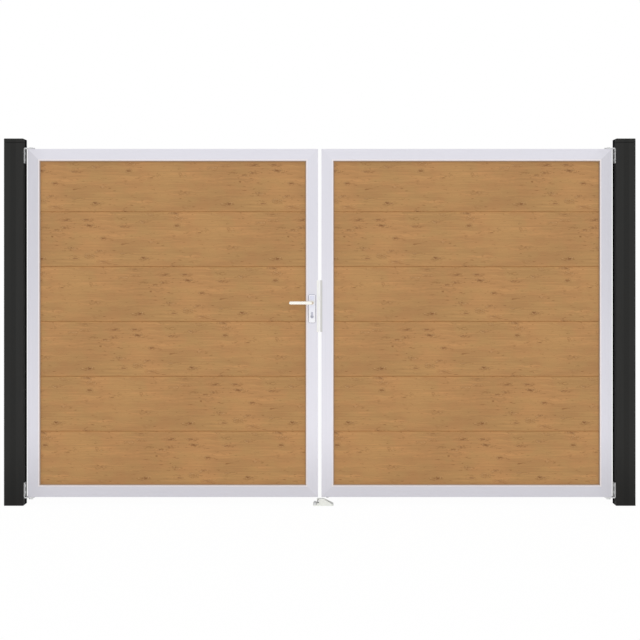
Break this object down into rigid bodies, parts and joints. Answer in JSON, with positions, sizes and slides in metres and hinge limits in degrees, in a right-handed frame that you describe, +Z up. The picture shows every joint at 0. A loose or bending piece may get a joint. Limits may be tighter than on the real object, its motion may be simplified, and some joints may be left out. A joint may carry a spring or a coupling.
{
  "type": "double swing gate",
  "caption": "Double swing gate with silver aluminium frames, light oak hollow PVC boards, a lever lock, a drop bolt, a ground stop and two square posts on corner pivots",
  "frame": {"origin": "on the ground, in the middle of the gap between the leaves, in the leaves' middle plane", "axes": "+X to the right along the gate seen from the street, +Y into the garden, +Z up"},
  "size_m": [3.26, 0.178, 1.896],
  "materials": {
    "anthracite": "anthracite powder coat, satin, fine texture",
    "silver_frame": "silver anodised aluminium, satin",
    "light_oak": "light oak wood-grain foil on PVC, satin",
    "galvanised": "zinc-plated steel, satin",
    "cast_stop": "cast aluminium, blasted",
    "black_steel": "black passivated steel",
    "bush_nylon": "black nylon",
    "cast_cleat": "cast aluminium",
    "lock_steel": "zinc-plated steel",
    "forend_steel": "stainless steel, finely brushed",
    "handle_alloy": "satin silver aluminium",
    "cylinder_nickel": "matt nickel-plated brass"
  },
  "bodies": {
    "posts": {"left_post": "anthracite", "right_post": "anthracite", "left_post_cap": "anthracite", "right_post_cap": "anthracite", "left_top_bracket": "galvanised", "left_bottom_bracket": "galvanised", "right_top_bracket": "galvanised", "right_bottom_bracket": "galvanised", "pivot_bolts": "galvanised", "bracket_screws": "galvanised", "ground_stop": "cast_stop", "stop_anchors": "black_steel"},
    "left_leaf": {"left_top_rail": "silver_frame", "left_bottom_rail": "silver_frame", "left_hinge_stile": "silver_frame", "left_lock_stile": "silver_frame", "left_corner_cleats": "cast_cleat", "left_setting_blocks": "bush_nylon", "left_pivot_bushes": "bush_nylon", "left_board_1": "light_oak", "left_board_2": "light_oak", "left_board_3": "light_oak", "left_board_4": "light_oak", "left_board_5": "light_oak", "left_board_6": "light_oak", "lock_case": "lock_steel", "lock_case_cover": "lock_steel", "lock_forend": "forend_steel", "forend_screws": "galvanised", "front_handle_plate": "handle_alloy", "back_handle_plate": "handle_alloy", "plate_screws": "galvanised", "lock_cylinder": "cylinder_nickel"},
    "right_leaf": {"right_top_rail": "silver_frame", "right_bottom_rail": "silver_frame", "right_hinge_stile": "silver_frame", "right_lock_stile": "silver_frame", "right_corner_cleats": "cast_cleat", "right_setting_blocks": "bush_nylon", "right_pivot_bushes": "bush_nylon", "right_board_1": "light_oak", "right_board_2": "light_oak", "right_board_3": "light_oak", "right_board_4": "light_oak", "right_board_5": "light_oak", "right_board_6": "light_oak", "strike": "forend_steel", "strike_screws": "galvanised", "drop_bolt_guide": "galvanised", "guide_screws": "galvanised"},
    "handle_set": {"front_lever": "handle_alloy", "back_lever": "handle_alloy", "spindle": "lock_steel", "lock_follower": "lock_steel"},
    "latch": {"latch_bolt": "lock_steel"},
    "dead_bolt": {"deadbolt": "lock_steel"},
    "key_drive": {"key_plug": "cylinder_nickel"},
    "drop_bolt": {"drop_bolt_rod": "galvanised", "drop_bolt_grip": "bush_nylon"}
  },
  "joints": [
    {"name": "left_leaf_swing", "type": "hinge", "parent": "posts", "child": "left_leaf", "pos_m": [-1.496, 0, 0], "axis": [0, 0, 1], "range_deg": [0, 90]},
    {"name": "right_leaf_swing", "type": "hinge", "parent": "posts", "child": "right_leaf", "pos_m": [1.496, 0, 0], "axis": [0, 0, -1], "range_deg": [0, 90]},
    {"name": "handle_turn", "type": "hinge", "parent": "left_leaf", "child": "handle_set", "pos_m": [-0.04, 0, 1.048], "axis": [0, -1, 0], "range_deg": [0, 40], "stiffness_Nm_per_rad": 1.2, "springref_deg": -14.32},
    {"name": "latch_slide", "type": "slide", "parent": "left_leaf", "child": "latch", "axis": [-1, 0, 0], "range_m": [0, 0.01]},
    {"name": "key_turn", "type": "hinge", "parent": "left_leaf", "child": "key_drive", "pos_m": [-0.04, 0, 0.976], "axis": [0, 1, 0], "range_deg": [0, 360]},
    {"name": "deadbolt_slide", "type": "slide", "parent": "left_leaf", "child": "dead_bolt", "axis": [1, 0, 0], "range_m": [0, 0.02]},
    {"name": "drop_bolt_slide", "type": "slide", "parent": "right_leaf", "child": "drop_bolt", "axis": [0, 0, -1], "range_m": [0, 0.03]}
  ],
  "couplings": [
    {"joint": "latch_slide", "follows": "handle_turn", "m_per_rad": 0.014323},
    {"joint": "key_turn", "follows": "deadbolt_slide", "rad_per_m": 314.15}
  ]
}
